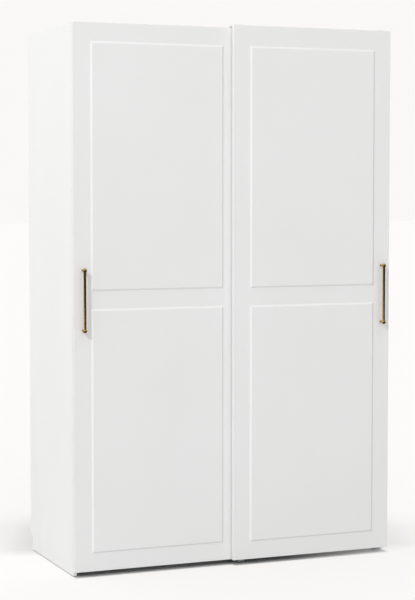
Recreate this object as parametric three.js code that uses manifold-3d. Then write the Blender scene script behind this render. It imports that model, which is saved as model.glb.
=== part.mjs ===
// Two-door hanging sliding wardrobe: white carcass, two overlapping panelled doors on rollers, brass handles.
// Millimetres, +Z up. The front looks along -Y and the origin lies under the middle of the bounding box.
//
// While the parts are laid out, X runs from the outer face of the left side panel, Y from the front face of
// the inner (left) door towards the wall, and Z from the floor. The last lines centre the whole assembly.
import * as THREE from "three";
import { mergeVertices } from "three/addons/utils/BufferGeometryUtils.js";
import Module from "manifold-3d";

const wasm = await Module();
wasm.setup();

// ---- driving dimensions -------------------------------------------------------------------------------
const WIDTH = 1495; // outside of side panel to outside of side panel
const HEIGHT = 2360; // top of the side panels and of the inner door
const DEPTH = 648; // rear edge of the side panels
const BOARD = 18; // carcass board
const CARCASS_FRONT = 22; // front edge of the side panels, 3 mm behind the inner door
const GLIDE_HEIGHT = 3;

const DOOR_WIDTH = 767;
const DOOR_THICK = 19;
const DOOR_BOTTOM = 21;
const OUTER_FRONT = -26; // front face of the outer door's stiles
const OUTER_TOP = 2370;
const STILE = 78; // plain border round the raised fields
const RAIL_LOW = 1149; // lower edge of the middle rail
const RAIL_HIGH = 1225; // upper edge of the middle rail
const FIELD_TOP = 2282; // upper edge of the upper raised field
const FIELD_RISE = 5; // how far a raised field stands out of the stiles
const FIELD_CHAMFER = 8; // width of the sloping border of a raised field

const HANDLE_INSET = 41.5; // handle axis from the door's outer edge
const HANDLE_PITCH = 256; // between the two post centres
const HANDLE_MIDDLE = 1187;
const HANDLE_STANDOFF = 30; // handle axis in front of the door
const BAR_RADIUS = 5.5;
const BALL_RADIUS = 9.5;

const TOP_RECESS = 60; // top panel's upper face below the top of the side panels
const TOP_THICK = 22;
const BOTTOM_UNDER = 66; // underside of the bottom panel
const BACK_FACE = 640; // front face of the back panels
const BACK_THICK = 3;
const SKIRTING_DEPTH = 26;
const SKIRTING_TOP = 63;
const PARTITION_FRONT = 34;
const SHELF_FRONT = 60;
const SHELF_UNDER = 1958;
const RAIL_AXIS = 1905; // height of the clothes rail
const RAIL_DEPTH = 330; // its distance behind the inner door's face

const ROLLER_RADIUS = 14;
const ROLLER_GROOVE = 12; // running radius
const ROLLER_WIDTH = 10;
const AXLE_RADIUS = 3;
const RUNNING_GAP = 0.3; // radial play of everything that turns or slides in a hole
const TRACK_BASE = 2;
const RIB_HEIGHT = 26; // top of a track rib above the top panel
const RIB_THICK = 2;
const LANE_INNER = 33; // Y of the rib that carries the inner door
const LANE_OUTER = 62;
const HANGER_WIDTH = 40;
const PRESSED_STEEL = 2.5; // sheet of the guide arms and inner hangers

const GROOVE_INNER = 36; // Y of the bottom track's groove for the inner door
const GROOVE_OUTER = 60;
const GROOVE_WIDTH = 11;
const BOTTOM_TRACK_HEIGHT = 12;
const GUIDE_WIDTH = 30;
const GUIDE_FLANGE = 40; // underside of the flange that holds a guide pin
const PIN_TRAVEL = 7;

const TRAVEL = 660; // how far each door opens

// ---- places worked out from them ----------------------------------------------------------------------
const topFace = HEIGHT - TOP_RECESS;
const topUnder = topFace - TOP_THICK;
const bottomFace = BOTTOM_UNDER + BOARD;
const middle = WIDTH / 2;
const innerLeft = BOARD;
const innerRight = WIDTH - BOARD;
const outerDoorLeft = WIDTH - DOOR_WIDTH;
const ribTop = topFace + RIB_HEIGHT;
const axleHeight = ribTop + ROLLER_GROOVE + RUNNING_GAP;
const frontMost = OUTER_FRONT - HANDLE_STANDOFF - BALL_RADIUS;

// ---- finishes -----------------------------------------------------------------------------------------
function finish(color, roughness, metalness = 0) {
  return new THREE.MeshStandardMaterial({ color, roughness, metalness });
}
const whiteBoard = finish(0xf1f0ee, 0.55);
const doorWhite = finish(0xf0efec, 0.45);
const whiteHardboard = finish(0xe9e8e4, 0.6);
const antiqueBrass = finish(0x8a6b3c, 0.35, 1);
const aluminium = finish(0xb9bbbd, 0.4, 1);
const zincSteel = finish(0xa3a6a8, 0.38, 1);
const whiteSteel = finish(0xeeeeec, 0.4);
const satinChrome = finish(0xc9cbcc, 0.2, 1);
const greyPlastic = finish(0x8d9093, 0.6);
const whitePlastic = finish(0xe6e6e3, 0.5);

// ---- shapes -------------------------------------------------------------------------------------------
const wardrobe = new THREE.Group();

function add(name, geometry, material, x = 0, y = 0, z = 0) {
  const mesh = new THREE.Mesh(geometry, material);
  mesh.name = name;
  mesh.position.set(x, y, z);
  wardrobe.add(mesh);
  return mesh;
}

// A block from its lowest corner to its highest one.
function block(x0, y0, z0, x1, y1, z1) {
  const geometry = new THREE.BoxGeometry(x1 - x0, y1 - y0, z1 - z0);
  return geometry.translate((x0 + x1) / 2, (y0 + y1) / 2, (z0 + z1) / 2);
}

// An outline of [y, z] corners, drawn out along X.
function alongX(corners, x0, x1) {
  const shape = new THREE.Shape(corners.map(([y, z]) => new THREE.Vector2(y, z)));
  const geometry = new THREE.ExtrudeGeometry(shape, { depth: x1 - x0, bevelEnabled: false });
  const turn = new THREE.Matrix4().makeBasis(
    new THREE.Vector3(0, 1, 0),
    new THREE.Vector3(0, 0, 1),
    new THREE.Vector3(1, 0, 0),
  );
  return geometry.applyMatrix4(turn).translate(x0, 0, 0);
}

// A profile of [radius, height] points turned about a vertical axis.
function turned(profile, segments) {
  const points = profile.map(([radius, height]) => new THREE.Vector2(radius, height));
  return new THREE.LatheGeometry(points, segments).rotateX(Math.PI / 2);
}

// The same, about an axis that runs from the front to the wall.
function turnedAlongY(profile, segments) {
  const points = profile.map(([radius, depth]) => new THREE.Vector2(radius, depth));
  return new THREE.LatheGeometry(points, segments);
}

function solid(geometry) {
  const bare = geometry.clone();
  bare.deleteAttribute("normal");
  bare.deleteAttribute("uv");
  const merged = mergeVertices(bare, 1e-3);
  return new wasm.Manifold(
    new wasm.Mesh({
      numProp: 3,
      vertProperties: merged.attributes.position.array,
      triVerts: new Uint32Array(merged.index.array),
    }),
  );
}

function shell(manifold) {
  const made = manifold.getMesh();
  const geometry = new THREE.BufferGeometry();
  geometry.setAttribute("position", new THREE.BufferAttribute(made.vertProperties, 3));
  geometry.setIndex(new THREE.BufferAttribute(made.triVerts, 1));
  const flat = geometry.toNonIndexed();
  flat.computeVertexNormals();
  return flat;
}

function joined(...geometries) {
  return shell(geometries.map(solid).reduce((whole, piece) => whole.add(piece)));
}

function cut(geometry, ...tools) {
  return shell(tools.map(solid).reduce((whole, tool) => whole.subtract(tool), solid(geometry)));
}

// ---- carcass ------------------------------------------------------------------------------------------
// A side panel stands on glides and is cut out at the back for the room's skirting board.
const sideOutline = [
  [CARCASS_FRONT, GLIDE_HEIGHT],
  [DEPTH - SKIRTING_DEPTH, GLIDE_HEIGHT],
  [DEPTH - SKIRTING_DEPTH, SKIRTING_TOP],
  [DEPTH, SKIRTING_TOP],
  [DEPTH, HEIGHT],
  [CARCASS_FRONT, HEIGHT],
];
add("side_panel_left", alongX(sideOutline, 0, BOARD), whiteBoard);
add("side_panel_right", alongX(sideOutline, WIDTH - BOARD, WIDTH), whiteBoard);

const trackFront = CARCASS_FRONT + 4; // the bottom panel stands back so that the guide arms can pass
add("top_panel", block(innerLeft, CARCASS_FRONT, topUnder, innerRight, BACK_FACE, topFace), whiteBoard);
add(
  "bottom_panel",
  block(innerLeft, trackFront, BOTTOM_UNDER, innerRight, BACK_FACE, bottomFace),
  whiteBoard,
);

const jointFlange = 1.5; // H-profile that joins the two back panels behind the partition
const jointPlay = 0.5;
const partitionRear = BACK_FACE - jointFlange - jointPlay;
const partitionLeft = middle - BOARD / 2;
const partitionRight = middle + BOARD / 2;
add(
  "centre_partition",
  block(partitionLeft, PARTITION_FRONT, bottomFace, partitionRight, partitionRear, topUnder),
  whiteBoard,
);

const backRear = BACK_FACE + BACK_THICK;
const webHalf = 1;
const backPanels = {
  back_panel_left: [innerLeft, middle - webHalf - jointPlay],
  back_panel_right: [middle + webHalf + jointPlay, innerRight],
};
for (const [name, [x0, x1]] of Object.entries(backPanels)) {
  add(name, block(x0, BACK_FACE, BOTTOM_UNDER, x1, backRear, topFace), whiteHardboard);
}

const flangeHalf = 10;
const innerFlange = BACK_FACE - jointPlay;
const outerFlange = backRear + jointPlay;
const jointRear = outerFlange + jointFlange;
add(
  "back_panel_joint",
  joined(
    block(middle - webHalf, partitionRear, bottomFace, middle + webHalf, jointRear, topUnder),
    block(middle - flangeHalf, partitionRear, bottomFace, middle + flangeHalf, innerFlange, topUnder),
    block(middle - flangeHalf, outerFlange, bottomFace, middle + flangeHalf, jointRear, topUnder),
  ),
  whitePlastic,
);

const plinthThick = 16;
const plinthFronts = { plinth_front: 92, plinth_rear: 596 };
for (const [name, y] of Object.entries(plinthFronts)) {
  add(name, block(innerLeft, y, GLIDE_HEIGHT, innerRight, y + plinthThick, BOTTOM_UNDER), whiteBoard);
}

const glideRadius = 8;
const glideChamfer = 1;
const glideRows = { front: 50, rear: 590 };
const glideSides = { left: BOARD / 2, right: WIDTH - BOARD / 2 };
for (const [row, y] of Object.entries(glideRows)) {
  for (const [side, x] of Object.entries(glideSides)) {
    const disc = [
      [0, 0],
      [glideRadius - glideChamfer, 0],
      [glideRadius, glideChamfer],
      [glideRadius, GLIDE_HEIGHT],
      [0, GLIDE_HEIGHT],
    ];
    add(`glide_${row}_${side}`, turned(disc, 16), greyPlastic, x, y, 0);
  }
}

// ---- shelves and clothes rails ------------------------------------------------------------------------
const pinRadius = 2.5;
const pinReach = 8;
const pinRows = [110, 560]; // distance behind the inner door's face
const shelfPlay = 1;
const shelfRearGap = 2;
const railHalfHeight = 15;
const railHalfWidth = 7.5;
const railWall = 1;
const railEndPlay = 1;
const ovalSteps = 8;
const socketWall = 3;
const socketPlate = 3;
const socketReach = 14;

// The outline of an upright oval with flat sides, as [y, z] corners about the rail's axis.
function oval(halfWidth, halfHeight, steps = ovalSteps) {
  const corners = [];
  const rise = halfHeight - halfWidth;
  for (const end of [1, -1]) {
    for (let i = 0; i <= steps; i++) {
      const angle = (Math.PI * i) / steps;
      const across = end * halfWidth * Math.cos(angle);
      const up = end * (rise + halfWidth * Math.sin(angle));
      corners.push([RAIL_DEPTH + across, RAIL_AXIS + up]);
    }
  }
  return corners;
}

// A cup that is open at the top, so that the rail is dropped in from above.
function railSocket(wallX, direction) {
  const plateEnd = wallX + direction * socketPlate;
  const cupEnd = wallX + direction * socketReach;
  const low = Math.min(plateEnd, cupEnd);
  const high = Math.max(plateEnd, cupEnd);
  const past = 1; // how far the cutting shapes run past the cup
  const rim = oval(railHalfWidth + socketWall, railHalfHeight + socketWall);
  const slotHalf = railHalfWidth + RUNNING_GAP;
  const cup = alongX(rim, low, high);
  const hollow = alongX(oval(slotHalf, railHalfHeight + RUNNING_GAP), low - past, high + past);
  const mouth = block(
    low - past,
    RAIL_DEPTH - slotHalf,
    RAIL_AXIS,
    high + past,
    RAIL_DEPTH + slotHalf,
    RAIL_AXIS + railHalfHeight + socketWall + past,
  );
  const plate = alongX(rim, Math.min(wallX, plateEnd), Math.max(wallX, plateEnd));
  return shell(solid(cup).subtract(solid(hollow)).subtract(solid(mouth)).add(solid(plate)));
}

const bays = {
  left: { from: innerLeft, to: partitionLeft },
  right: { from: partitionRight, to: innerRight },
};
for (const [side, { from, to }] of Object.entries(bays)) {
  const shelfRear = BACK_FACE - shelfRearGap;
  add(
    `hat_shelf_${side}`,
    block(from + shelfPlay, SHELF_FRONT, SHELF_UNDER, to - shelfPlay, shelfRear, SHELF_UNDER + BOARD),
    whiteBoard,
  );
  const pinPlaces = [from, to - pinReach].flatMap((x) => pinRows.map((y) => [x, y]));
  pinPlaces.forEach(([x, y], i) => {
    const pin = new THREE.CylinderGeometry(pinRadius, pinRadius, pinReach, 12);
    pin.rotateZ(Math.PI / 2).translate(x + pinReach / 2, y, SHELF_UNDER - pinRadius);
    add(`shelf_pin_${side}_${i + 1}`, pin, zincSteel);
  });

  const tubeFrom = from + socketPlate + railEndPlay;
  const tubeTo = to - socketPlate - railEndPlay;
  const tube = alongX(oval(railHalfWidth, railHalfHeight), tubeFrom, tubeTo);
  const boreOutline = oval(railHalfWidth - railWall, railHalfHeight - railWall);
  const bore = alongX(boreOutline, from, to);
  add(`clothes_rail_${side}`, cut(tube, bore), satinChrome);
  add(`rail_socket_${side}_1`, railSocket(from, 1), zincSteel);
  add(`rail_socket_${side}_2`, railSocket(to, -1), zincSteel);
}

// ---- top track ----------------------------------------------------------------------------------------
// One aluminium section on the top panel: a base with one upright rib for each door's rollers.
const trackPlay = 0.5;
const trackRear = 78;
const baseTop = topFace + TRACK_BASE;
function ribCorners(lane) {
  return [
    [lane + RIB_THICK / 2, baseTop],
    [lane + RIB_THICK / 2, ribTop],
    [lane - RIB_THICK / 2, ribTop],
    [lane - RIB_THICK / 2, baseTop],
  ];
}
const lipHeight = 10;
add(
  "top_track",
  alongX(
    [
      [trackFront, topFace],
      [trackRear, topFace],
      [trackRear, topFace + lipHeight],
      [trackRear - RIB_THICK, topFace + lipHeight],
      [trackRear - RIB_THICK, baseTop],
      ...ribCorners(LANE_OUTER),
      ...ribCorners(LANE_INNER),
      [trackFront, baseTop],
    ],
    innerLeft + trackPlay,
    innerRight - trackPlay,
  ),
  aluminium,
);

// ---- bottom track -------------------------------------------------------------------------------------
// A section under the front of the bottom panel, with one groove that is open downwards for each door.
const trackUnder = BOTTOM_UNDER - BOTTOM_TRACK_HEIGHT;
const grooveRoof = BOTTOM_UNDER - 3;
const trackBack = GROOVE_OUTER + GROOVE_WIDTH / 2 + 4.5;
function grooveCorners(lane) {
  return [
    [lane - GROOVE_WIDTH / 2, trackUnder],
    [lane - GROOVE_WIDTH / 2, grooveRoof],
    [lane + GROOVE_WIDTH / 2, grooveRoof],
    [lane + GROOVE_WIDTH / 2, trackUnder],
  ];
}
add(
  "bottom_track",
  alongX(
    [
      [trackFront, trackUnder],
      ...grooveCorners(GROOVE_INNER),
      ...grooveCorners(GROOVE_OUTER),
      [trackBack, trackUnder],
      [trackBack, BOTTOM_UNDER],
      [trackFront, BOTTOM_UNDER],
    ],
    innerLeft + trackPlay,
    innerRight - trackPlay,
  ),
  aluminium,
);

// ---- doors --------------------------------------------------------------------------------------------
// A raised field: a block whose front face is smaller than its back by the chamfer on every side.
function raisedField(x0, x1, face, z0, z1) {
  const sunk = 2;
  const geometry = block(x0, face - FIELD_RISE, z0, x1, face + sunk, z1);
  const place = geometry.attributes.position;
  const slope = FIELD_CHAMFER / FIELD_RISE;
  for (let i = 0; i < place.count; i++) {
    const atFront = place.getY(i) < face;
    const inset = atFront ? FIELD_CHAMFER : -sunk * slope;
    const x = place.getX(i) < (x0 + x1) / 2 ? x0 + inset : x1 - inset;
    const z = place.getZ(i) < (z0 + z1) / 2 ? z0 + inset : z1 - inset;
    place.setX(i, x);
    place.setZ(i, z);
  }
  return geometry;
}

function doorSlab(left, face, top) {
  const right = left + DOOR_WIDTH;
  return joined(
    block(left, face, DOOR_BOTTOM, right, face + DOOR_THICK, top),
    raisedField(left + STILE, right - STILE, face, DOOR_BOTTOM + STILE, RAIL_LOW),
    raisedField(left + STILE, right - STILE, face, RAIL_HIGH, FIELD_TOP),
  );
}

// A bar with a ball at each end, as one vertical turned piece.
function handleBar() {
  const profile = [];
  const half = HANDLE_PITCH / 2;
  const steps = 8;
  const neck = Math.asin(BAR_RADIUS / BALL_RADIUS);
  for (let i = 0; i <= steps; i++) {
    const angle = ((Math.PI - neck) * i) / steps;
    const radius = i === 0 ? 0 : BALL_RADIUS * Math.sin(angle);
    profile.push([radius, -half - BALL_RADIUS * Math.cos(angle)]);
  }
  const upper = profile.map(([radius, height]) => [radius, -height]).reverse();
  return turned([...profile, ...upper], 20);
}

// A conical post, thin at the door and wide at the ball that it carries. Its end is hollowed to the ball.
const postFoot = 3.75; // radius at the door
const postHead = 7.5; // radius that it would have at the middle of the ball
function handlePost(x, face, z) {
  const cone = turnedAlongY(
    [
      [0, -HANDLE_STANDOFF],
      [postHead, -HANDLE_STANDOFF],
      [postFoot, 0],
      [0, 0],
    ],
    20,
  );
  const ball = new THREE.SphereGeometry(BALL_RADIUS + RUNNING_GAP, 24, 16);
  ball.translate(0, -HANDLE_STANDOFF, 0);
  return cut(cone, ball).translate(x, face, z);
}

// A roller with a running groove, on its own axle.
function roller() {
  const half = ROLLER_WIDTH / 2;
  const bore = AXLE_RADIUS + RUNNING_GAP;
  const mouth = 3;
  const bottom = 1.5;
  return turnedAlongY(
    [
      [bore, -half],
      [ROLLER_RADIUS, -half],
      [ROLLER_RADIUS, -mouth],
      [ROLLER_GROOVE, -bottom],
      [ROLLER_GROOVE, bottom],
      [ROLLER_RADIUS, mouth],
      [ROLLER_RADIUS, half],
      [bore, half],
      [bore, -half],
    ],
    24,
  );
}

// The riveted axle that stands out of a hanger's leg at Y = leg and holds a roller in the given lane.
const rivetRadius = 5;
const rivetThick = 2.5;
function axle(x, leg, lane) {
  const start = leg - 1; // a little inside the leg, so that the two join
  const end = lane + ROLLER_WIDTH / 2 + 0.5;
  return turnedAlongY(
    [
      [0, start],
      [AXLE_RADIUS, start],
      [AXLE_RADIUS, end],
      [rivetRadius, end],
      [rivetRadius - 1, end + rivetThick],
      [0, end + rivetThick],
    ],
    16,
  ).translate(x, 0, axleHeight);
}

// Inner door: a flat plate on the back of the door. Outer door: a cast bridge over the inner door's top.
const hangerFoot = topFace + 4;
const hangerTop = HEIGHT - 6;
const bridgeUnder = HEIGHT + 6;
const bridgeTop = bridgeUnder + 8;
const frontLegThick = 3;
const rearLegFront = 46.5;
const rearLegRear = 50;
const rearLegFoot = axleHeight - 12;
function innerHanger(x) {
  const back = DOOR_THICK;
  const leg = back + PRESSED_STEEL;
  const half = HANGER_WIDTH / 2;
  return joined(block(x - half, back, hangerFoot, x + half, leg, hangerTop), axle(x, leg, LANE_INNER));
}
function outerHanger(x) {
  const back = OUTER_FRONT + DOOR_THICK;
  const half = HANGER_WIDTH / 2;
  const bridge = alongX(
    [
      [back, hangerFoot],
      [back + frontLegThick, hangerFoot],
      [back + frontLegThick, bridgeUnder],
      [rearLegFront, bridgeUnder],
      [rearLegFront, rearLegFoot],
      [rearLegRear, rearLegFoot],
      [rearLegRear, bridgeTop],
      [back, bridgeTop],
    ],
    x - half,
    x + half,
  );
  return joined(bridge, axle(x, rearLegRear, LANE_OUTER));
}

// Guide arms: bent steel strips at the foot of each door. The outer one passes under the inner door.
const guideHole = 3; // radius
const flangeTop = GUIDE_FLANGE + PRESSED_STEEL;
const armUnder = 9;
const armRiser = 52; // rear face of the upright part behind the inner door
const guidePlateTop = 90;
function innerGuideArm(x) {
  const back = DOOR_THICK;
  const flangeEnd = GROOVE_INNER + 8;
  const outline = [
    [back, GUIDE_FLANGE],
    [flangeEnd, GUIDE_FLANGE],
    [flangeEnd, flangeTop],
    [back + PRESSED_STEEL, flangeTop],
    [back + PRESSED_STEEL, guidePlateTop],
    [back, guidePlateTop],
  ];
  return drilledArm(outline, x, GROOVE_INNER);
}
function outerGuideArm(x) {
  const back = OUTER_FRONT + DOOR_THICK;
  const flangeEnd = GROOVE_OUTER + 9;
  const outline = [
    [back, armUnder],
    [armRiser, armUnder],
    [armRiser, GUIDE_FLANGE],
    [flangeEnd, GUIDE_FLANGE],
    [flangeEnd, flangeTop],
    [armRiser - PRESSED_STEEL, flangeTop],
    [armRiser - PRESSED_STEEL, armUnder + PRESSED_STEEL],
    [back + PRESSED_STEEL, armUnder + PRESSED_STEEL],
    [back + PRESSED_STEEL, guidePlateTop],
    [back, guidePlateTop],
  ];
  return drilledArm(outline, x, GROOVE_OUTER);
}
function drilledArm(outline, x, lane) {
  const half = GUIDE_WIDTH / 2;
  const drill = new THREE.CylinderGeometry(guideHole, guideHole, 4 * PRESSED_STEEL, 16);
  drill.rotateX(Math.PI / 2).translate(x, lane, GUIDE_FLANGE + PRESSED_STEEL / 2);
  return cut(alongX(outline, x - half, x + half), drill);
}

// A sprung guide pin: its head runs in the bottom track, and it is pushed down to lift the door off.
function guidePin() {
  const shaft = guideHole - RUNNING_GAP;
  const head = GROOVE_WIDTH / 2 - 0.5;
  const headFoot = flangeTop + PIN_TRAVEL + 0.5;
  const headTop = trackUnder + 6.5;
  const headChamfer = 1.5;
  const clipTop = GUIDE_FLANGE - RUNNING_GAP;
  const clipUnder = GUIDE_FLANGE - 1.5;
  const clip = 4.5; // radius of the snap ring that keeps the pin in its arm
  return turned(
    [
      [0, clipUnder],
      [clip, clipUnder],
      [clip, clipTop],
      [shaft, clipTop],
      [shaft, headFoot],
      [head, headFoot],
      [head, headTop - headChamfer],
      [head - headChamfer, headTop],
      [0, headTop],
    ],
    16,
  );
}

// Everything that one door carries.
function buildDoor(prefix, left, face, top, handleX, hangers, guides, lane, groove) {
  add(`${prefix}_door_slab`, doorSlab(left, face, top), doorWhite);
  add(`${prefix}_handle_bar`, handleBar(), antiqueBrass, handleX, face - HANDLE_STANDOFF, HANDLE_MIDDLE);
  const half = HANDLE_PITCH / 2;
  add(`${prefix}_handle_post_upper`, handlePost(handleX, face, HANDLE_MIDDLE + half), antiqueBrass);
  add(`${prefix}_handle_post_lower`, handlePost(handleX, face, HANDLE_MIDDLE - half), antiqueBrass);
  for (const [side, x] of Object.entries(hangers)) {
    const hanger = prefix === "inner" ? innerHanger(x) : outerHanger(x);
    add(`${prefix}_hanger_${side}`, hanger, prefix === "inner" ? zincSteel : whiteSteel);
    add(`${prefix}_roller_${side}`, roller(), greyPlastic, x, lane, axleHeight);
  }
  for (const [side, x] of Object.entries(guides)) {
    const arm = prefix === "inner" ? innerGuideArm(x) : outerGuideArm(x);
    add(`${prefix}_guide_arm_${side}`, arm, zincSteel);
    add(`${prefix}_guide_pin_${side}`, guidePin(), whitePlastic, x, groove, 0);
  }
}

const hangerAtSide = 48; // hanger centre from the door edge next to a side panel
const hangerAtMeeting = 28; // and from the edge that overlaps the other door
const guideFromEdge = 43;
const innerHangers = { left: hangerAtSide, right: DOOR_WIDTH - hangerAtMeeting };
const outerHangers = { left: outerDoorLeft + hangerAtMeeting, right: WIDTH - hangerAtSide };
buildDoor(
  "inner",
  0,
  0,
  HEIGHT,
  HANDLE_INSET,
  innerHangers,
  { left: guideFromEdge, right: DOOR_WIDTH - guideFromEdge },
  LANE_INNER,
  GROOVE_INNER,
);
buildDoor(
  "outer",
  outerDoorLeft,
  OUTER_FRONT,
  OUTER_TOP,
  WIDTH - HANDLE_INSET,
  outerHangers,
  { left: outerDoorLeft + guideFromEdge, right: WIDTH - guideFromEdge },
  LANE_OUTER,
  GROOVE_OUTER,
);

// ---- track stops --------------------------------------------------------------------------------------
// A plastic block clipped over the rib at each end of a roller's run.
const stopLength = 13;
const stopHalf = 7;
const stopTop = axleHeight + 2;
function trackStop(x0, lane) {
  const slit = RIB_THICK / 2 + RUNNING_GAP;
  const foot = baseTop + RUNNING_GAP;
  return alongX(
    [
      [lane - stopHalf, foot],
      [lane - slit, foot],
      [lane - slit, ribTop + RUNNING_GAP],
      [lane + slit, ribTop + RUNNING_GAP],
      [lane + slit, foot],
      [lane + stopHalf, foot],
      [lane + stopHalf, stopTop],
      [lane - stopHalf, stopTop],
    ],
    x0,
    x0 + stopLength,
  );
}
const stopReach = ROLLER_RADIUS + 0.5;
const stops = {
  stop_inner_left: [innerHangers.left - stopReach - stopLength, LANE_INNER],
  stop_inner_right: [innerHangers.right + TRAVEL + stopReach, LANE_INNER],
  stop_outer_left: [outerHangers.left - TRAVEL - stopReach - stopLength, LANE_OUTER],
  stop_outer_right: [outerHangers.right + stopReach, LANE_OUTER],
};
for (const [name, [x0, lane]] of Object.entries(stops)) {
  add(name, trackStop(x0, lane), greyPlastic);
}

wardrobe.position.set(-WIDTH / 2, -(frontMost + DEPTH) / 2, 0);
export default wardrobe;
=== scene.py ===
import math
import bmesh
import bpy
from mathutils import Matrix, Vector


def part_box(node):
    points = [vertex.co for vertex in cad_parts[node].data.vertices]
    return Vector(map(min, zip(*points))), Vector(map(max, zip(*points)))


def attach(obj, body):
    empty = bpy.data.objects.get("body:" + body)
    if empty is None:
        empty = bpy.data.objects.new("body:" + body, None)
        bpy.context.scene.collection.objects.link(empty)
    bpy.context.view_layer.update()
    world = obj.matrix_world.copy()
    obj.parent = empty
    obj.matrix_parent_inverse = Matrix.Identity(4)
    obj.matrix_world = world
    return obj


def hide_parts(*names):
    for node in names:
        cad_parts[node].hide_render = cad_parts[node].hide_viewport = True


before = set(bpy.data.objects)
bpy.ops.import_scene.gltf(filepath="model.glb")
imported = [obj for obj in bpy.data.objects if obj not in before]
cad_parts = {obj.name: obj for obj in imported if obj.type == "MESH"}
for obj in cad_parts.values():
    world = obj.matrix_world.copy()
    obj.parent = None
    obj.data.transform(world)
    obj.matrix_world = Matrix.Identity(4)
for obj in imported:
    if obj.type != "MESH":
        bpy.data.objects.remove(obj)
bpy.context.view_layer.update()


# ---- the camera ---------------------------------------------------------------------------------------
# It stands to the left of the wardrobe at eye height, seven and a half metres off, and looks slightly down.
# The long lens keeps the upright edges almost parallel.
camera_place = Vector((-3.0015, -7.218, 1.646))
camera_turn = math.radians(22.49)
camera_dip = math.radians(3.59)
camera_data = bpy.data.cameras.new("camera")
camera_data.sensor_width = 36
camera_data.lens = 103.2
camera_data.clip_end = 200
camera = bpy.data.objects.new("camera", camera_data)
camera.location = camera_place
camera.rotation_euler = (math.pi / 2 - camera_dip, 0, -camera_turn)
bpy.context.scene.collection.objects.link(camera)
bpy.context.scene.camera = camera


# ---- the studio floor ---------------------------------------------------------------------------------
# A pale floor that runs on without an edge, with a painted soft shadow lying behind the wardrobe.
# A matt patch lies under the wardrobe itself as a painted shadow, where little of the room's light comes in.
class Reading:
    """A value inside a material. Sums and products of it add the Math nodes that work them out."""

    def __init__(self, finish, socket):
        self.finish, self.socket = finish, socket

    def _math(self, operation, a, b):
        return self.finish.node("ShaderNodeMath", {"operation": operation}, {0: a, 1: b})

    def __add__(self, other):
        return self._math("ADD", self, other)

    def __radd__(self, other):
        return self._math("ADD", other, self)

    def __sub__(self, other):
        return self._math("SUBTRACT", self, other)

    def __rsub__(self, other):
        return self._math("SUBTRACT", other, self)

    def __mul__(self, other):
        return self._math("MULTIPLY", self, other)

    def __rmul__(self, other):
        return self._math("MULTIPLY", other, self)

    def __gt__(self, other):
        return self._math("GREATER_THAN", self, other)


class Finish:
    """A material, or the world, that is put together node by node."""

    def __init__(self, name, owner=None):
        self.owner = owner or bpy.data.materials.new(name)
        self.owner.use_nodes = True
        self.tree = self.owner.node_tree
        self.tree.nodes.clear()

    def node(self, kind, settings=None, inputs=None, output=0):
        made = self.tree.nodes.new(kind)
        for name, value in (settings or {}).items():
            setattr(made, name, value)
        for name, value in (inputs or {}).items():
            if isinstance(value, Reading):
                self.tree.links.new(value.socket, made.inputs[name])
            else:
                made.inputs[name].default_value = value
        return Reading(self, made.outputs[output]) if made.outputs else None

    def place(self):
        return self.node("ShaderNodeTexCoord", output="Object")

    def axis(self, name):
        return self.node("ShaderNodeSeparateXYZ", None, {"Vector": self.place()}, name)

    def stretched(self, scale):
        return self.node("ShaderNodeMapping", None, {"Vector": self.place(), "Scale": scale})

    def noise(self, vector, scale, detail=2.0, roughness=0.5):
        inputs = {"Vector": vector, "Scale": scale, "Detail": detail, "Roughness": roughness}
        return self.node("ShaderNodeTexNoise", {"noise_dimensions": "3D"}, inputs)

    def graded(self, reading, from_low, from_high, to_low, to_high):
        """A reading between from_low and from_high, brought to the range from to_low to to_high."""
        inputs = {
            "Value": reading, "From Min": from_low, "From Max": from_high,
            "To Min": to_low, "To Max": to_high,
        }
        return self.node("ShaderNodeMapRange", {"clamp": True}, inputs)

    def between(self, share, one, other):
        return self.node("ShaderNodeMix", {"data_type": "RGBA"}, {0: share, 6: one, 7: other}, 2)

    def bump(self, height, distance, strength):
        inputs = {"Height": height, "Distance": distance, "Strength": strength}
        return self.node("ShaderNodeBump", None, inputs)

    def matt(self, colour):
        return self.node("ShaderNodeBsdfDiffuse", None, {"Color": colour})

    def glowing(self, colour):
        return self.node("ShaderNodeEmission", None, {"Color": colour, "Strength": 1.0})

    def added(self, one, other):
        return self.node("ShaderNodeAddShader", None, {0: one, 1: other})

    def chosen(self, share, one, other):
        return self.node("ShaderNodeMixShader", None, {0: share, 1: one, 2: other})

    def ray(self, kind):
        return self.node("ShaderNodeLightPath", output=f"Is {kind} Ray")

    def surface(self, shader):
        self.node("ShaderNodeOutputMaterial", None, {"Surface": shader})
        return self.owner

    def shader(self, **inputs):
        named = {name.replace("_", " "): value for name, value in inputs.items()}
        return self.surface(self.node("ShaderNodeBsdfPrincipled", None, named))


millimetre = 0.001
black = (0, 0, 0, 1)
floor_paint = (0.28, 0.277, 0.272, 1)
floor_in_view = (0.705, 0.695, 0.683, 1)
floor_bounce = (0.47, 0.47, 0.47, 1)
floor_in_metal = (0.05, 0.047, 0.042, 1)
shade_slant = 0.09
shade_begins, shade_full = -0.05, 0.09
shade_thins, shade_gone = 0.55, 1.0
flank_begins, flank_full, flank_share = 0.82, 0.97, 0.42
flank_thins, flank_gone = 0.9, 1.5
shade_left, shade_right, shade_span = 0.30, 0.19, 0.8
floor_finish = Finish("studio_floor")


def along_floor(x_share, y_share):
    return floor_finish.axis("X") * x_share + floor_finish.axis("Y") * y_share


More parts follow.
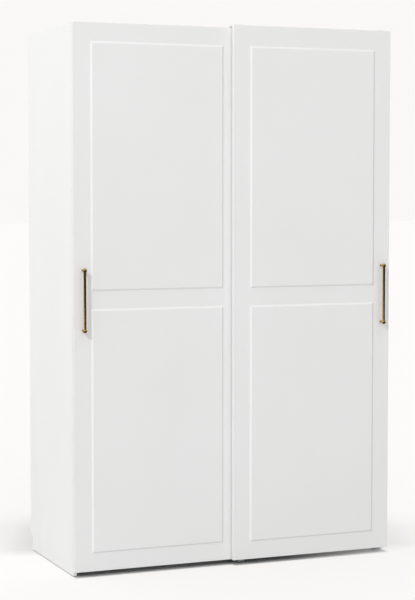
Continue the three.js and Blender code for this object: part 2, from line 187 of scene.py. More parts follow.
away = along_floor(math.sin(camera_turn), math.cos(camera_turn))
sideways = along_floor(math.cos(camera_turn), -math.sin(camera_turn))
off_middle = floor_finish.node("ShaderNodeMath", {"operation": "ABSOLUTE"}, {0: sideways})
# A painted soft shadow: the floor's glow, as the camera sees it, is darkened behind the wardrobe, deeper on
# the left than on the right.
painted_soft_shadow = (
    floor_finish.graded(away - sideways * shade_slant, shade_begins, shade_full, 0.0, 1.0)
    * floor_finish.graded(away, shade_thins, shade_gone, 1.0, 0.0)
    * floor_finish.graded(off_middle, flank_begins, flank_full, 1.0, flank_share)
    * floor_finish.graded(off_middle, flank_thins, flank_gone, 1.0, 0.0)
    * floor_finish.graded(sideways, -shade_span, shade_span, shade_left, shade_right)
)
shaded_view = floor_finish.between(painted_soft_shadow, floor_in_view, black)
floor_light = floor_finish.between(floor_finish.ray("Camera"), floor_bounce, shaded_view)
lit_floor = floor_finish.added(floor_finish.glowing(floor_light), floor_finish.matt(floor_paint))
floor_surface = floor_finish.surface(
    floor_finish.chosen(floor_finish.ray("Glossy"), lit_floor, floor_finish.glowing(floor_in_metal))
)

patch_paint = (0.7, 0.7, 0.7, 1)
painted_stray_light = (0.16, 0.157, 0.155, 1)
stray_begins, stray_full = 0.26, 0.68
patch_finish = Finish("shaded_floor")
# Painted light: the patch glows more towards its right end, as if stray light came in under the right door.
toward_right = patch_finish.graded(patch_finish.axis("X"), stray_begins, stray_full, 0.0, 1.0)
painted_stray_glow = patch_finish.glowing(patch_finish.between(toward_right, black, painted_stray_light))
patch_surface = patch_finish.surface(patch_finish.added(patch_finish.matt(patch_paint), painted_stray_glow))


def studio_piece(name, shape, material):
    """Makes a shape part of the studio, which doesn't belong to the wardrobe."""
    mesh = bpy.data.meshes.new(name)
    shape.to_mesh(mesh)
    shape.free()
    mesh.materials.append(material)
    made = bpy.data.objects.new(name, mesh)
    bpy.context.scene.collection.objects.link(made)


floor_half_width = 80
ground = bmesh.new()
bmesh.ops.create_grid(ground, x_segments=1, y_segments=1, size=floor_half_width)
studio_piece("studio_floor", ground, floor_surface)

inner_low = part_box("inner_door_slab")[0]
outer_low, outer_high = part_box("outer_door_slab")
patch_height = 0.2 * millimetre
patch_ahead = 8 * millimetre
patch_inset = 26 * millimetre
inner_front = inner_low.y - patch_ahead
outer_front = outer_low.y - patch_ahead
patch_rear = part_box("side_panel_left")[1].y - patch_inset
corners = [
    (inner_low.x, inner_front), (outer_low.x, inner_front), (outer_low.x, outer_front),
    (outer_high.x, outer_front), (outer_high.x, patch_rear), (inner_low.x, patch_rear),
]
# The patch is a painted shadow: it covers the floor's glow under the wardrobe and a little ahead of the
# doors.
patch = bmesh.new()
patch.faces.new([patch.verts.new((x, y, patch_height)) for x, y in corners])
studio_piece("shaded_floor", patch, patch_surface)


# ---- the studio light ---------------------------------------------------------------------------------
# A soft round lamp stands high on the left, and a second one in its place adds light on the brass alone.
# The white room fills in, least from the right. Polished metal sees one bright screen, ceiling and rear wall.
paper_white = (0.955, 0.942, 0.926, 1)
plain_white = (1, 1, 1, 1)
room = bpy.data.worlds.new("white_room")
bpy.context.scene.world = room
room_light = Finish("white_room", room)
direction = room_light.node("ShaderNodeTexCoord", output="Generated")


def facing(way, from_low, from_high, low, high):
    """Light that goes from low to high between two cosines of the angle to a way."""
    toward = room_light.node(
        "ShaderNodeVectorMath", {"operation": "DOT_PRODUCT"}, {0: direction, 1: way}, "Value"
    )
    return room_light.graded(toward, from_low, from_high, low, high)


def background(colour, strength):
    return room_light.node("ShaderNodeBackground", None, {"Color": colour, "Strength": strength})


front_left = facing((-0.87, -0.5, 0), 0.55, 0.95, 1.09, 0.745)
beside_dark_right = facing((0.96, -0.28, 0), 0.52, 0.8, 1.0, 0.0)
rear_left = facing((-0.75, 0.66, 0), 0.1, 0.8, 0.0, 0.20)
fill = front_left * beside_dark_right + rear_left
left_screen = facing((-0.99, -0.13, 0), 0.75, 0.95, 0.03, 1.3)
ceiling = facing((0, 0, 1), 0.2, 0.6, 0.0, 0.8)
rear_wall = facing((0, 1, 0), 0.55, 0.9, 0.0, 0.7)
reflected = left_screen + ceiling + rear_wall
room_shader = room_light.chosen(
    room_light.ray("Glossy"), background(plain_white, fill), background(plain_white, reflected)
)
room_shader = room_light.chosen(
    room_light.ray("Camera"), room_shader, background(paper_white, 1.0)
)
room_light.node("ShaderNodeOutputWorld", None, {"Surface": room_shader})

lamp_side = math.radians(48)
lamp_rise = math.radians(32)
lamp_distance = 14
lamp_width = 1.2
lamp_aim = Vector((0, -0.3, 1.2))
lamp_way = Vector((
    -math.sin(lamp_side) * math.cos(lamp_rise), -math.cos(lamp_side) * math.cos(lamp_rise),
    math.sin(lamp_rise),
))


def lamp(name, watts):
    """A soft round lamp with its own collection of the pieces that it lights."""
    data = bpy.data.lights.new(name, "AREA")
    data.shape = "DISK"
    data.size = lamp_width
    data.energy = watts
    stand = bpy.data.objects.new(name, data)
    stand.location = lamp_aim + lamp_way * lamp_distance
    stand.rotation_euler = lamp_way.to_track_quat("Z", "Y").to_euler()
    stand.light_linking.receiver_collection = bpy.data.collections.new("lit_by_" + name)
    bpy.context.scene.collection.objects.link(stand)
    return stand


soft_lamp = lamp("soft_light", 590)
soft_lamp.visible_glossy = False
brass_lamp = lamp("brass_light", 500)
lit_by_soft_lamp = soft_lamp.light_linking.receiver_collection
lit_by_brass_lamp = brass_lamp.light_linking.receiver_collection
bpy.context.scene.view_settings.view_transform = "Standard"
bpy.context.scene.view_settings.look = "None"


# ---- white boards of the carcass ----------------------------------------------------------------------
# Side panels, top, bottom, partition, plinths and shelves are 18 mm particle board faced with white melamine.
# Their edges are banded and slightly rounded. Shelf holes are drilled in rows at the usual 32 mm pitch.
flat_face = 0.0006
hair = 0.01 * millimetre


def merged_copy(node):
    """The shape of a CAD node as a clean mesh: its loose triangles joined and its flat faces made whole."""
    shape = bmesh.new()
    shape.from_mesh(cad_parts[node].data)
    bmesh.ops.remove_doubles(shape, verts=shape.verts, dist=hair)
    bmesh.ops.dissolve_limit(
        shape, angle_limit=math.radians(0.5), verts=shape.verts, edges=shape.edges, delimit={"NORMAL"}
    )
    return shape


def rounded(shape, width, segments=2, sharper_than=25):
    """Rounds every edge of a shape that turns by more than an angle in degrees."""
    limit = math.radians(sharper_than)
    edges = [edge for edge in shape.edges if edge.calc_face_angle(0) > limit]
    bmesh.ops.bevel(
        shape, geom=edges, offset=width, offset_type="OFFSET", segments=segments, profile=0.5,
        affect="EDGES", clamp_overlap=True, material=-1, loop_slide=True,
    )
    return shape


def finished(name, shape, material, body, slot, replaced=(), flat_from=None):
    """Makes a shape a named piece of a body. With flat_from, faces that are larger (in square metres) or
    that lie square to the axes are shaded flat, so that only the rounded edges are smooth."""
    mesh = bpy.data.meshes.new(name)
    shape.normal_update()
    shape.to_mesh(mesh)
    shape.free()
    for polygon in mesh.polygons:
        square = max(abs(part) for part in polygon.normal) > 0.9999
        polygon.use_smooth = flat_from is None or (polygon.area < flat_from and not square)
    if flat_from is None:
        mesh.set_sharp_from_angle(angle=math.radians(35))
    mesh.materials.append(material)
    piece = bpy.data.objects.new(name, mesh)
    bpy.context.scene.collection.objects.link(piece)
    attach(piece, body)
    if replaced:
        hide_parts(*replaced)
    lit_by_soft_lamp.objects.link(piece)
    if slot == "antique_brass":
        lit_by_brass_lamp.objects.link(piece)


def middle_of(node):
    low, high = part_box(node)
    return (low + high) / 2


def white_surface(name, tone, shine, grain_height):
    """White melamine or foil: an even colour with faint cloudiness, a fine pearl grain, light rubbing, and
    a little dust near the floor."""
    dust_colour = (0.45, 0.42, 0.38, 1)
    dust_top, most_dust = 0.09, 0.035
    finish = Finish(name)
    place = finish.place()
    clouds = finish.noise(place, 2.3, 3.0)
    warm = tuple(channel * factor for channel, factor in zip(tone, (0.985, 0.983, 0.978)))
    colour = finish.between(finish.graded(clouds, 0.35, 0.7, 0.0, 1.0), (*tone, 1), (*warm, 1))
    dust = finish.graded(finish.axis("Z"), 0.0, dust_top, most_dust, 0.0) * finish.noise(place, 14.0, 4.0)
    rubbed = finish.noise(finish.stretched((9.0, 9.0, 1.2)), 1.0, 4.0, 0.6)
    pearl = finish.noise(place, 620.0, 2.0, 0.6)
    waves = finish.noise(place, 45.0, 1.0)
    return finish.shader(
        Base_Color=finish.between(dust, colour, dust_colour),
        Roughness=finish.graded(rubbed, 0.3, 0.75, shine - 0.05, shine + 0.07) + pearl * 0.03,
        Normal=finish.bump(pearl + waves * 0.35, grain_height, 0.5),
        IOR=1.48,
    )


board_white = white_surface("white_board", (0.87, 0.87, 0.868), 0.5, 0.04 * millimetre)
carcass_boards = [
    "side_panel_left", "side_panel_right", "top_panel", "bottom_panel", "centre_partition",
    "plinth_front", "plinth_rear", "hat_shelf_left", "hat_shelf_right",
]
band_radius = 0.8 * millimetre
hole_pitch = 32 * millimetre
hole_width = 5 * millimetre
hole_depth = 7 * millimetre
hole_draft = 0.2 * millimetre
hole_cell = 16 * millimetre
octagon_cut = 0.2929 * hole_width
near = 0.1 * millimetre
holes_above_shelf, holes_below_shelf = 6, 48
hole_rows = [middle_of("shelf_pin_left_1").y, middle_of("shelf_pin_left_2").y]
hole_heights = [
    middle_of("shelf_pin_left_1").z + step * hole_pitch
    for step in range(-holes_below_shelf, holes_above_shelf + 1)
]


def drilled(shape, plane_x, facing_x):
    """Two upright rows of shelf holes in the face that lies at plane_x and looks towards facing_x. The face
    is cut into one square cell for each hole, and the hole is sunk in the cell's middle as an octagon."""
    def in_face():
        return [
            face for face in shape.faces
            if face.normal.x * facing_x > 0.99 and abs(face.calc_center_median().x - plane_x) < hair
        ]

    def cut_at(faces, point, normal):
        parts = dict.fromkeys(part for face in faces for part in (face, *face.edges, *face.verts))
        bmesh.ops.bisect_plane(shape, geom=list(parts), dist=1e-7, plane_co=point, plane_no=normal)

    def in_row(face, rows):
        return any(abs(face.calc_center_median().y - row) < near for row in rows)

    half = hole_cell / 2
    for row in hole_rows:
        for y in (row - half, row + half):
            cut_at(in_face(), Vector((plane_x, y, 0)), Vector((0, 1, 0)))
    for row in hole_rows:
        for height in hole_heights:
            for z in (height - half, height + half):
                strip = [face for face in in_face() if in_row(face, [row])]
                cut_at(strip, Vector((plane_x, 0, z)), Vector((0, 0, 1)))
    cells = [
        face for face in in_face()
        if len(face.verts) == 4 and abs(face.calc_area() - hole_cell ** 2) < 1e-6
        and in_row(face, hole_rows)
        and any(abs(face.calc_center_median().z - height) < near for height in hole_heights)
    ]
    bmesh.ops.inset_individual(
        shape, faces=cells, thickness=(hole_cell - hole_width) / 2, depth=0, use_even_offset=True
    )
    corners = list(dict.fromkeys(vert for face in cells for vert in face.verts))
    bmesh.ops.bevel(
        shape, geom=corners, offset=octagon_cut, offset_type="OFFSET", segments=1, profile=0.5,
        affect="VERTICES", material=-1,
    )
    mouths = [
        face for face in in_face()
        if len(face.verts) == 8 and face.calc_area() < hole_width ** 2 and in_row(face, hole_rows)
    ]
    bmesh.ops.inset_individual(
        shape, faces=mouths, thickness=hole_draft, depth=-hole_depth, use_even_offset=True
    )
    return shape


drilled_towards = {
    "side_panel_left": [1], "side_panel_right": [-1], "centre_partition": [-1, 1],
}
for node in carcass_boards:
    board = rounded(merged_copy(node), band_radius, 3)
    low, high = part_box(node)
    for looks in drilled_towards.get(node, []):
        board = drilled(board, high.x if looks > 0 else low.x, looks)
    finished(node + "_board", board, board_white, "carcass", "white_board", [node], flat_face)


# ---- door slabs ---------------------------------------------------------------------------------------
# Each door is one 19 mm board milled to two raised fields with a sloping border, wrapped in satin white foil.
# The foil rounds every edge a little, which draws a soft line of light along each one.
door_white = white_surface("door_white", (0.862, 0.862, 0.862), 0.4, 0.03 * millimetre)
door_flat_face = 0.002
door_thick = 19 * millimetre
stile_width = 78 * millimetre
rail_low = 1149 * millimetre
rail_high = 1225 * millimetre
field_top = 2282 * millimetre
field_rise = 5 * millimetre
field_slope = 8 * millimetre
foil_radius = 1.0 * millimetre
overlap_extra = {"inner": 0, "outer": 1.5 * millimetre}


def panelled_slab(node, past_left):
    """A door board whose left edge stands past_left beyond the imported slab's, where the doors overlap."""
    low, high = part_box(node)
    low = low - Vector((past_left, 0, 0))
    front = high.y - door_thick
    shape = bmesh.new()
    bmesh.ops.create_cube(shape, size=1)
    size = Vector((high.x - low.x, door_thick, high.z - low.z))
    middle = Vector(((low.x + high.x) / 2, front + door_thick / 2, (low.z + high.z) / 2))
    bmesh.ops.scale(shape, vec=size, verts=shape.verts)
    bmesh.ops.translate(shape, vec=middle, verts=shape.verts)
    cuts_across = [low.x + stile_width, high.x - stile_width]
    cuts_up = [low.z + stile_width, rail_low, rail_high, field_top]
    cuts = [(Vector((x, 0, 0)), Vector((1, 0, 0))) for x in cuts_across]
    cuts += [(Vector((0, 0, z)), Vector((0, 0, 1))) for z in cuts_up]
    for point, normal in cuts:
        everything = shape.verts[:] + shape.edges[:] + shape.faces[:]
        bmesh.ops.bisect_plane(shape, geom=everything, dist=1e-6, plane_co=point, plane_no=normal)
    fields = []
    for face in shape.faces:
        centre = face.calc_center_median()
        between_stiles = cuts_across[0] < centre.x < cuts_across[1]
        in_field = cuts_up[0] < centre.z < cuts_up[1] or cuts_up[2] < centre.z < cuts_up[3]
        if face.normal.y < -0.9 and between_stiles and in_field:
            fields.append(face)
    bmesh.ops.inset_individual(
        shape, faces=fields, thickness=field_slope, depth=field_rise, use_even_offset=True
    )
    return rounded(shape, foil_radius, 3, 15)


for prefix in ("inner", "outer"):
    node = prefix + "_door_slab"
    finished(
        prefix + "_door_panel", panelled_slab(node, overlap_extra[prefix]), door_white,
        prefix + "_door", "door_white", [node], door_flat_face,
    )


# ---- back panels --------------------------------------------------------------------------------------
# Two sheets of 3 mm hardboard, lacquered white towards the inside and raw brown fibre towards the wall.
# They are nailed to the rear edges and held together behind the partition by a white plastic H-profile.
def hardboard():
    lacquer_light, lacquer_dark = (0.82, 0.815, 0.8, 1), (0.79, 0.785, 0.77, 1)
    fibre_dark, fibre_light, stain = (0.30, 0.19, 0.105, 1), (0.46, 0.32, 0.19, 1), (0.24, 0.15, 0.085, 1)
    finish = Finish("white_hardboard")
    place = finish.place()
    fibre = finish.noise(finish.stretched((60.0, 60.0, 60.0)), 9.0, 5.0, 0.65)
    blotch = finish.noise(place, 7.0, 3.0)
    lacquer = finish.between(finish.graded(blotch, 0.3, 0.7, 0.0, 1.0), lacquer_light, lacquer_dark)
    brown = finish.between(fibre, fibre_dark, fibre_light)
    brown = finish.between(finish.graded(blotch, 0.4, 0.8, 0.0, 0.35), brown, stain)
    behind = finish.axis("Y") > middle_of("back_panel_left").y
    return finish.shader(
        Base_Color=finish.between(behind, lacquer, brown),
        Roughness=finish.graded(behind, 0, 1, 0.42, 0.78) + fibre * 0.1,
        Normal=finish.bump(fibre, 0.1 * millimetre, 0.6),
    )


def moulded(name, tone, shine, grain=260.0):
    """Moulded plastic or powder coat with a fine eroded texture and a slightly uneven gloss."""
    finish = Finish(name)
    place = finish.place()
    texture = finish.noise(place, grain * 4, 3.0, 0.7)
    flow = finish.noise(place, 22.0, 2.0)
    darker = tuple(channel * 0.86 for channel in tone)
    return finish.shader(
        Base_Color=finish.between(finish.graded(flow, 0.3, 0.75, 0.0, 1.0), (*tone, 1), (*darker, 1)),
        Roughness=finish.graded(flow, 0.3, 0.7, shine - 0.06, shine + 0.06) + texture * 0.05,
        Normal=finish.bump(texture, 0.05 * millimetre, 0.5),
    )


sheet_edge = 0.3 * millimetre
profile_edge = 0.25 * millimetre
back_finish = hardboard()
for node in ("back_panel_left", "back_panel_right"):
    finished(
        node + "_sheet", rounded(merged_copy(node), sheet_edge, 1), back_finish,
        "carcass", "white_hardboard", [node], flat_face,
    )
plastic_white = moulded("white_plastic", (0.76, 0.76, 0.745), 0.42)
finished(
    "back_joint_profile", rounded(merged_copy("back_panel_joint"), profile_edge), plastic_white,
    "carcass", "white_plastic", ["back_panel_joint"], flat_face,
)


# ---- glides -------------------------------------------------------------------------------------------
# Grey plastic discs nailed under the side panels, front and rear.
# They keep the boards' lower edges off a damp floor.
plastic_grey = moulded("grey_plastic", (0.20, 0.205, 0.21), 0.5)
glide_edge = 0.7 * millimetre
for row in ("front", "rear"):
    for side in ("left", "right"):
        node = f"glide_{row}_{side}"
        low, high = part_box(node)
        glide_radius = (high.x - low.x) / 2
        disc = bmesh.new()
        bmesh.ops.create_cone(
            disc, cap_ends=True, segments=40, radius1=glide_radius, radius2=glide_radius,
            depth=high.z - low.z, matrix=Matrix.Translation((low + high) / 2),
        )
        rounded(disc, glide_edge, 3)
        finished(node + "_disc", disc, plastic_grey, "carcass", "grey_plastic", [node])


# ---- handles ------------------------------------------------------------------------------------------
# A turned brass bar with a ball at each end, on two conical posts that are thin at the door.
# Solid brass, brushed along its length, darkened by an antique bath and polished bright again on the front.
def spun(profile, centre, axis, steps=64):
    """Turns a profile of (radius, height) points, in metres, about an axis through the centre."""
    shape = bmesh.new()
    points = [shape.verts.new((radius, 0, height)) for radius, height in profile]
    edges = [shape.edges.new(pair) for pair in zip(points, points[1:])]
    bmesh.ops.spin(
        shape, geom=points + edges, cent=(0, 0, 0), axis=(0, 0, 1), angle=2 * math.pi,
        steps=steps, use_merge=True,
    )
    bmesh.ops.remove_doubles(shape, verts=shape.verts, dist=0.002 * millimetre)
    bmesh.ops.recalc_face_normals(shape, faces=shape.faces)
    turn = Vector((0, 0, 1)).rotation_difference(Vector(axis)).to_matrix().to_4x4()
    bmesh.ops.transform(shape, matrix=Matrix.Translation(centre) @ turn, verts=shape.verts)
    return shape


def antique_brass():
    bright, deep, oxide = (0.72, 0.465, 0.15, 1), (0.27, 0.155, 0.042, 1), (0.05, 0.028, 0.01, 1)
    finish = Finish("antique_brass")
    place = finish.place()
    brushing = finish.noise(finish.stretched((900.0, 900.0, 25.0)), 1.0, 3.0, 0.6)
    patina = finish.noise(place, 38.0, 4.0, 0.6)
    spots = finish.noise(place, 170.0, 3.0, 0.55)
    darkened = finish.graded(patina, 0.32, 0.72, 0.25, 0.8) * finish.graded(brushing, 0.25, 0.8, 0.75, 1.1)
    colour = finish.between(darkened, bright, deep)
    return finish.shader(
        Base_Color=finish.between(finish.graded(spots, 0.6, 0.75, 0.0, 0.5), colour, oxide),
        Metallic=1.0,
        Roughness=finish.graded(patina, 0.3, 0.7, 0.16, 0.26) + brushing * 0.06,
        Normal=finish.bump(brushing, 0.03 * millimetre, 0.4),
    )


brass = antique_brass()
bar_radius = 6 * millimetre
ball_radius = 9.5 * millimetre
ball_steps = 22
shoulder_radius = 7.1 * millimetre
shoulder_start = 0.6 * millimetre
shoulder_end = 2.2 * millimetre
foot_radius = 3.75 * millimetre
head_radius = 7.5 * millimetre
collar_radius = foot_radius + 1.3 * millimetre
collar_edge = foot_radius + 1.0 * millimetre
collar_top = 1.5 * millimetre
cone_steps = 14
cone_swell = 1.35
cone_into_ball = 5.6 * millimetre


def bar_profile(low, high):
    """From the upper ball's crown down to the lower one's, with a small shoulder at each ball."""
    half = (high.z - low.z) / 2 - ball_radius
    neck = math.pi - math.asin(shoulder_radius / ball_radius)
    upper = []
    for i in range(ball_steps + 1):
        angle = neck * i / ball_steps
        upper.append((ball_radius * math.sin(angle), half + ball_radius * math.cos(angle)))
    below_ball = upper[-1][1]
    upper += [
        (shoulder_radius, below_ball - shoulder_start),
        (shoulder_radius, below_ball - shoulder_end),
        (shoulder_radius - 0.35 * millimetre, below_ball - shoulder_end - 0.6 * millimetre),
        (bar_radius + 0.15 * millimetre, below_ball - shoulder_end - 1.0 * millimetre),
        (bar_radius, below_ball - shoulder_end - 2.0 * millimetre),
    ]
    return upper + [(radius, -height) for radius, height in reversed(upper)]


def post_profile(reach):
    """From the door outwards: a thin foot with a small collar, then a cone that swells into the ball."""
    points = [
        (0, 0), (collar_edge, 0), (collar_radius, 0.4 * millimetre), (collar_edge, 1.1 * millimetre),
        (foot_radius + 0.1 * millimetre, collar_top),
    ]
    for i in range(1, cone_steps + 1):
        share = i / cone_steps
        height = share * (reach - cone_into_ball)
        if height > collar_top + 0.3 * millimetre:
            points.append((foot_radius + (head_radius - foot_radius) * share ** cone_swell, height))
    return points


for prefix in ("inner", "outer"):
    body = prefix + "_door"
    low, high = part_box(prefix + "_handle_bar")
    middle = (low + high) / 2
    finished(
        prefix + "_bar", spun(bar_profile(low, high), middle, (0, 0, 1)), brass, body, "antique_brass",
        [prefix + "_handle_bar"],
    )
    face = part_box(prefix + "_handle_post_upper")[1].y
    for place, height in (("upper", high.z - ball_radius), ("lower", low.z + ball_radius)):
        foot = Vector((middle.x, face, height))
        cone = spun(post_profile(face - middle.y), foot, (0, -1, 0))
        finished(
            f"{prefix}_post_{place}", cone, brass, body, "antique_brass",
            [f"{prefix}_handle_post_{place}"],
        )


# ---- tracks -------------------------------------------------------------------------------------------
# Extruded aluminium in mill finish: two ribs on the top panel carry the rollers, and two grooves under the
# bottom panel guide the pins. Fine drawing lines run along the whole length.
def drawn_metal(name, tone, stretch, rough):
    """Bare or plated metal with lines that run along the axis of the smallest stretch."""
    finish = Finish(name)
    place = finish.place()
    lines = finish.noise(finish.stretched(stretch), 1.0, 4.0, 0.65)
    clouds = finish.noise(place, 11.0, 3.0)
    darker = tuple(channel * 0.72 for channel in tone)
    share = finish.graded(lines, 0.3, 0.75, 0.0, 0.7) * finish.graded(clouds, 0.3, 0.7, 0.6, 1.0)
    return finish.shader(
        Base_Color=finish.between(share, (*tone, 1), (*darker, 1)),
        Metallic=1.0,
        Roughness=finish.graded(lines, 0.3, 0.7, rough - 0.07, rough + 0.1) + clouds * 0.05,
        Normal=finish.bump(lines, 0.04 * millimetre, 0.35),
    )


track_edge = 0.3 * millimetre
aluminium = drawn_metal("aluminium_track", (0.66, 0.67, 0.68), (3.0, 900.0, 900.0), 0.36)
for node in ("top_track", "bottom_track"):
    finished(
        node + "_section", rounded(merged_copy(node), track_edge), aluminium,
        "carcass", "aluminium_track", [node], flat_face,
    )


# ---- track stops --------------------------------------------------------------------------------------
# Grey plastic blocks clipped over the ribs of the top track, one at each end of a door's travel.
stop_edge = 0.8 * millimetre
for place in ("inner_left", "inner_right", "outer_left", "outer_right"):
    node = "stop_" + place
    finished(
        node + "_block", rounded(merged_copy(node), stop_edge, 3), plastic_grey,
        "carcass", "grey_plastic", [node],
    )


# ---- hangers and guide arms ---------------------------------------------------------------------------
# Zinc plated steel plates and bent strips, screwed to the backs of the doors. The plating is cloudy.
# The outer door's hangers are bridges over the inner door, coated white because they show above it.
zinc = drawn_metal("zinc_steel", (0.52, 0.53, 0.54), (140.0, 140.0, 60.0), 0.38)
white_steel = moulded("white_steel", (0.86, 0.86, 0.85), 0.36, 120.0)
plate_edge = 0.4 * millimetre
for prefix in ("inner", "outer"):
    for side in ("left", "right"):
        for part in ("hanger", "guide_arm"):
            node = f"{prefix}_{part}_{side}"
            coated = (prefix, part) == ("outer", "hanger")
            finished(
                node + "_plate", rounded(merged_copy(node), plate_edge), white_steel if coated else zinc,
                prefix + "_door", "white_steel" if coated else "zinc_steel", [node],
            )


# ---- rollers and guide pins ---------------------------------------------------------------------------
# Grey nylon rollers with a running groove in the rim turn on the hangers' riveted axles.
# White plastic pins at the doors' feet are pressed up by springs and run in the grooves of the bottom track.
pin_edge = 0.3 * millimetre
bore_radius = 3.3 * millimetre
groove_radius = 12 * millimetre
groove_half_floor = 1.5 * millimetre
groove_half_mouth = 3.2 * millimetre
dish_inner, dish_outer = 7.0 * millimetre, 11.0 * millimetre
dish_slope, dish_depth = 0.6 * millimetre, 1.2 * millimetre
fillet = 0.5 * millimetre
lip = 0.3 * millimetre


def roller_profile(rim, half):
    """Half of the section from the bore out to the groove, then its mirror image back to the bore."""
    lower = [
        (bore_radius, -half + fillet), (bore_radius + fillet, -half), (dish_inner, -half),
        (dish_inner + dish_slope, -half + dish_depth), (dish_outer - dish_slope, -half + dish_depth),
        (dish_outer, -half), (rim - fillet, -half), (rim, -half + fillet),
        (rim, -groove_half_mouth), (rim - lip, -groove_half_mouth + lip),
        (groove_radius, -groove_half_floor),
    ]
    return lower + [(radius, -height) for radius, height in reversed(lower)] + lower[:1]


for prefix in ("inner", "outer"):
    for side in ("left", "right"):
        body = f"{prefix}_roller_{side}"
        low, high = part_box(body)
        profile = roller_profile((high.z - low.z) / 2, (high.y - low.y) / 2)
        wheel = spun(profile, (low + high) / 2, (0, 1, 0))
        finished(body + "_wheel", wheel, plastic_grey, body, "grey_plastic", [body])

        pin = f"{prefix}_guide_pin_{side}"
        finished(
            pin + "_pin", rounded(merged_copy(pin), pin_edge), plastic_white,
            pin, "white_plastic", [pin],
        )


# ---- clothes rails, sockets and shelf pins ------------------------------------------------------------
# Oval steel tubes with a satin chrome skin lie in open zinc sockets screwed to the boards.
# Short steel pins, pushed into the shelf holes, carry the hat shelves.
chrome = drawn_metal("satin_chrome", (0.70, 0.71, 0.72), (2.5, 700.0, 700.0), 0.2)
tube_edge = 0.25 * millimetre
socket_edge = 0.4 * millimetre
for side in ("left", "right"):
    node = f"clothes_rail_{side}"
    finished(
        node + "_tube", rounded(merged_copy(node), tube_edge, 2, 40), chrome,
        "carcass", "satin_chrome", [node],
    )
    small_parts = [(f"rail_socket_{side}_{end}", "_cup") for end in (1, 2)]
    small_parts += [(f"shelf_pin_{side}_{place}", "_stud") for place in (1, 2, 3, 4)]
    for node, ending in small_parts:
        finished(
            node + ending, rounded(merged_copy(node), socket_edge, 2, 40), zinc,
            "carcass", "zinc_steel", [node],
        )


# ---- screws -------------------------------------------------------------------------------------------
# Zinc plated pan-head screws with a cross recess hold the hangers, guide arms, tracks and handles.
# Flat cam discs of the same steel lock the top and bottom panels to the side panels.
head_steps = 20
head_rings = ((1, 0), (1, 0.25), (0.9, 0.72), (0.64, 1))
recess_narrows, recess_floor = 0.75, 0.35
turn_between_screws = 0.9


def head_outlines(radius, height):
    """Rings from a screw head's underside up to its top, then the cross recess and its floor."""
    arm, web = 0.5 * radius, 0.13 * radius
    cross = [
        (arm, -web), (arm, web), (web, web), (web, arm), (-web, arm), (-web, web),
        (-arm, web), (-arm, -web), (-web, -web), (-web, -arm), (web, -arm), (web, -web),
    ]
    round_about = [2 * math.pi * i / head_steps for i in range(head_steps)]
    outlines = [
        [(wide * radius * math.cos(angle), wide * radius * math.sin(angle), rise * height)
         for angle in round_about]
        for wide, rise in head_rings
    ]
    outlines.append([(x, y, height) for x, y in cross])
    outlines.append([(recess_narrows * x, recess_narrows * y, recess_floor * height) for x, y in cross])
    return outlines


def cross_screws(name, seats, out, radius, height, body):
    """Screw heads that all face the same way, made as one piece. A seat is the middle of an underside."""
    turn = Vector((0, 0, 1)).rotation_difference(Vector(out)).to_matrix().to_4x4()
    shape = bmesh.new()
    for count, seat in enumerate(seats):
        spin = Matrix.Rotation(turn_between_screws * count, 4, "Z")
        placed = Matrix.Translation(seat) @ turn @ spin
        loops = [
            [shape.verts.new(placed @ Vector(point)) for point in outline]
            for outline in head_outlines(radius, height)
        ]
        underside, top, recess, recess_bottom = loops[0], loops[3], loops[4], loops[5]
        for lower, upper in (loops[0:2], loops[1:3], loops[2:4], loops[4:6]):
            for i in range(len(lower)):
                j = (i + 1) % len(lower)
                shape.faces.new((lower[i], lower[j], upper[j], upper[i]))
        shape.faces.new(list(reversed(underside)))
        shape.faces.new(recess_bottom)
        brink = [
            shape.edges.get((loop[i], loop[(i + 1) % len(loop)]))
            for loop in (top, recess) for i in range(len(loop))
        ]
        bmesh.ops.triangle_fill(shape, use_beauty=True, use_dissolve=False, edges=brink)
    bmesh.ops.recalc_face_normals(shape, faces=shape.faces)
    finished(name, shape, zinc, body, "zinc_steel")


pan_radius = 3.6 * millimetre
pan_height = 2.2 * millimetre
low_height = 1.4 * millimetre
hanger_plate = {"inner": 2.5 * millimetre, "outer": 3 * millimetre}
hanger_screw_height = {"inner": pan_height, "outer": low_height}
hanger_across, hanger_ups = 15 * millimetre, (7 * millimetre, 44 * millimetre)
arm_plate = 2.5 * millimetre
arm_across, arm_downs = 8 * millimetre, (9 * millimetre, 30 * millimetre)
handle_screw_radius = 4 * millimetre
for prefix in ("inner", "outer"):
    body = prefix + "_door"
    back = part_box(prefix + "_door_slab")[1].y
    seats = []
    for side in ("left", "right"):
        hanger = f"{prefix}_hanger_{side}"
        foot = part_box(hanger)[0].z
        for x in (middle_of(hanger).x - hanger_across, middle_of(hanger).x + hanger_across):
            for up in hanger_ups:
                seats.append(Vector((x, back + hanger_plate[prefix], foot + up)))
        arm = f"{prefix}_guide_arm_{side}"
        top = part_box(arm)[1].z
        for x in (middle_of(arm).x - arm_across, middle_of(arm).x + arm_across):
            for down in arm_downs:
                seats.append(Vector((x, back + arm_plate, top - down)))
    screw_height = hanger_screw_height[prefix]
    cross_screws(prefix + "_fitting_screws", seats, (0, 1, 0), pan_radius, screw_height, body)
    posts = [middle_of(f"{prefix}_handle_post_{place}") for place in ("upper", "lower")]
    seats = [Vector((post.x, back, post.z)) for post in posts]
    cross_screws(prefix + "_handle_screws", seats, (0, 1, 0), handle_screw_radius, pan_height, body)

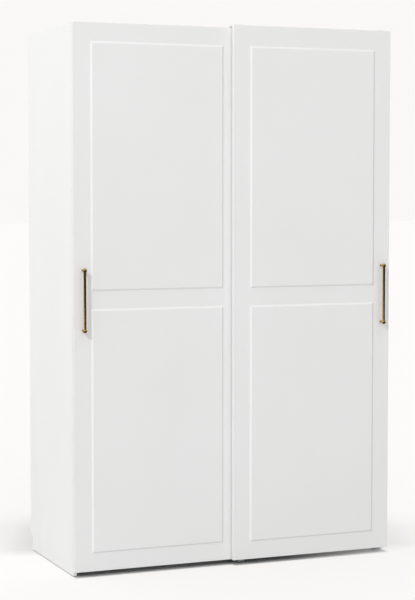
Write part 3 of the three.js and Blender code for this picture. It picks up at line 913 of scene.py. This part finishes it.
screw_count = 7
screw_from_end = 60 * millimetre
between_ribs = 21.5 * millimetre
between_grooves = 22 * millimetre
track_base = 2 * millimetre
track_low, track_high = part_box("top_track")
screw_spacing = (track_high.x - track_low.x - 2 * screw_from_end) / (screw_count - 1)
screw_places = [track_low.x + screw_from_end + i * screw_spacing for i in range(screw_count)]
seats = [Vector((x, track_low.y + between_ribs, track_low.z + track_base)) for x in screw_places]
cross_screws("top_track_screws", seats, (0, 0, 1), pan_radius, pan_height, "carcass")
track_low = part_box("bottom_track")[0]
seats = [Vector((x, track_low.y + between_grooves, track_low.z)) for x in screw_places]
cross_screws("bottom_track_screws", seats, (0, 0, -1), pan_radius, low_height, "carcass")

cam_from_end = 34 * millimetre
cam_radius = 7.5 * millimetre
cam_height = 0.5 * millimetre
for node, out in (("bottom_panel", 1), ("top_panel", -1)):
    low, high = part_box(node)
    face = high.z if out > 0 else low.z
    seats = [
        Vector((x, y, face))
        for x in (low.x + cam_from_end, high.x - cam_from_end) for y in hole_rows
    ]
    cross_screws(node + "_cams", seats, (0, 0, out), cam_radius, cam_height, "carcass")


# ---- nails --------------------------------------------------------------------------------------------
# The back panels are nailed to the rear edges of the top and bottom panels.
# The nails are short, of zinc plated steel, with flat heads that taper a little.
nail_radius = 2.2 * millimetre
nail_taper = 0.8
nail_height = 0.7 * millimetre
nail_spacing = 95 * millimetre
nail_margin = 30 * millimetre
nails = bmesh.new()
for side in ("left", "right"):
    low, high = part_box("back_panel_" + side)
    nail_count = int((high.x - low.x - 2 * nail_margin) / nail_spacing) + 1
    start = (low.x + high.x) / 2 - (nail_count - 1) * nail_spacing / 2
    for board in ("bottom_panel", "top_panel"):
        for i in range(nail_count):
            seat = Vector((start + i * nail_spacing, high.y + nail_height / 2, middle_of(board).z))
            bmesh.ops.create_cone(
                nails, cap_ends=True, segments=12, radius1=nail_radius, radius2=nail_taper * nail_radius,
                depth=nail_height, matrix=Matrix.Translation(seat) @ Matrix.Rotation(-math.pi / 2, 4, "X"),
            )
finished("back_nails", nails, zinc, "carcass", "zinc_steel")
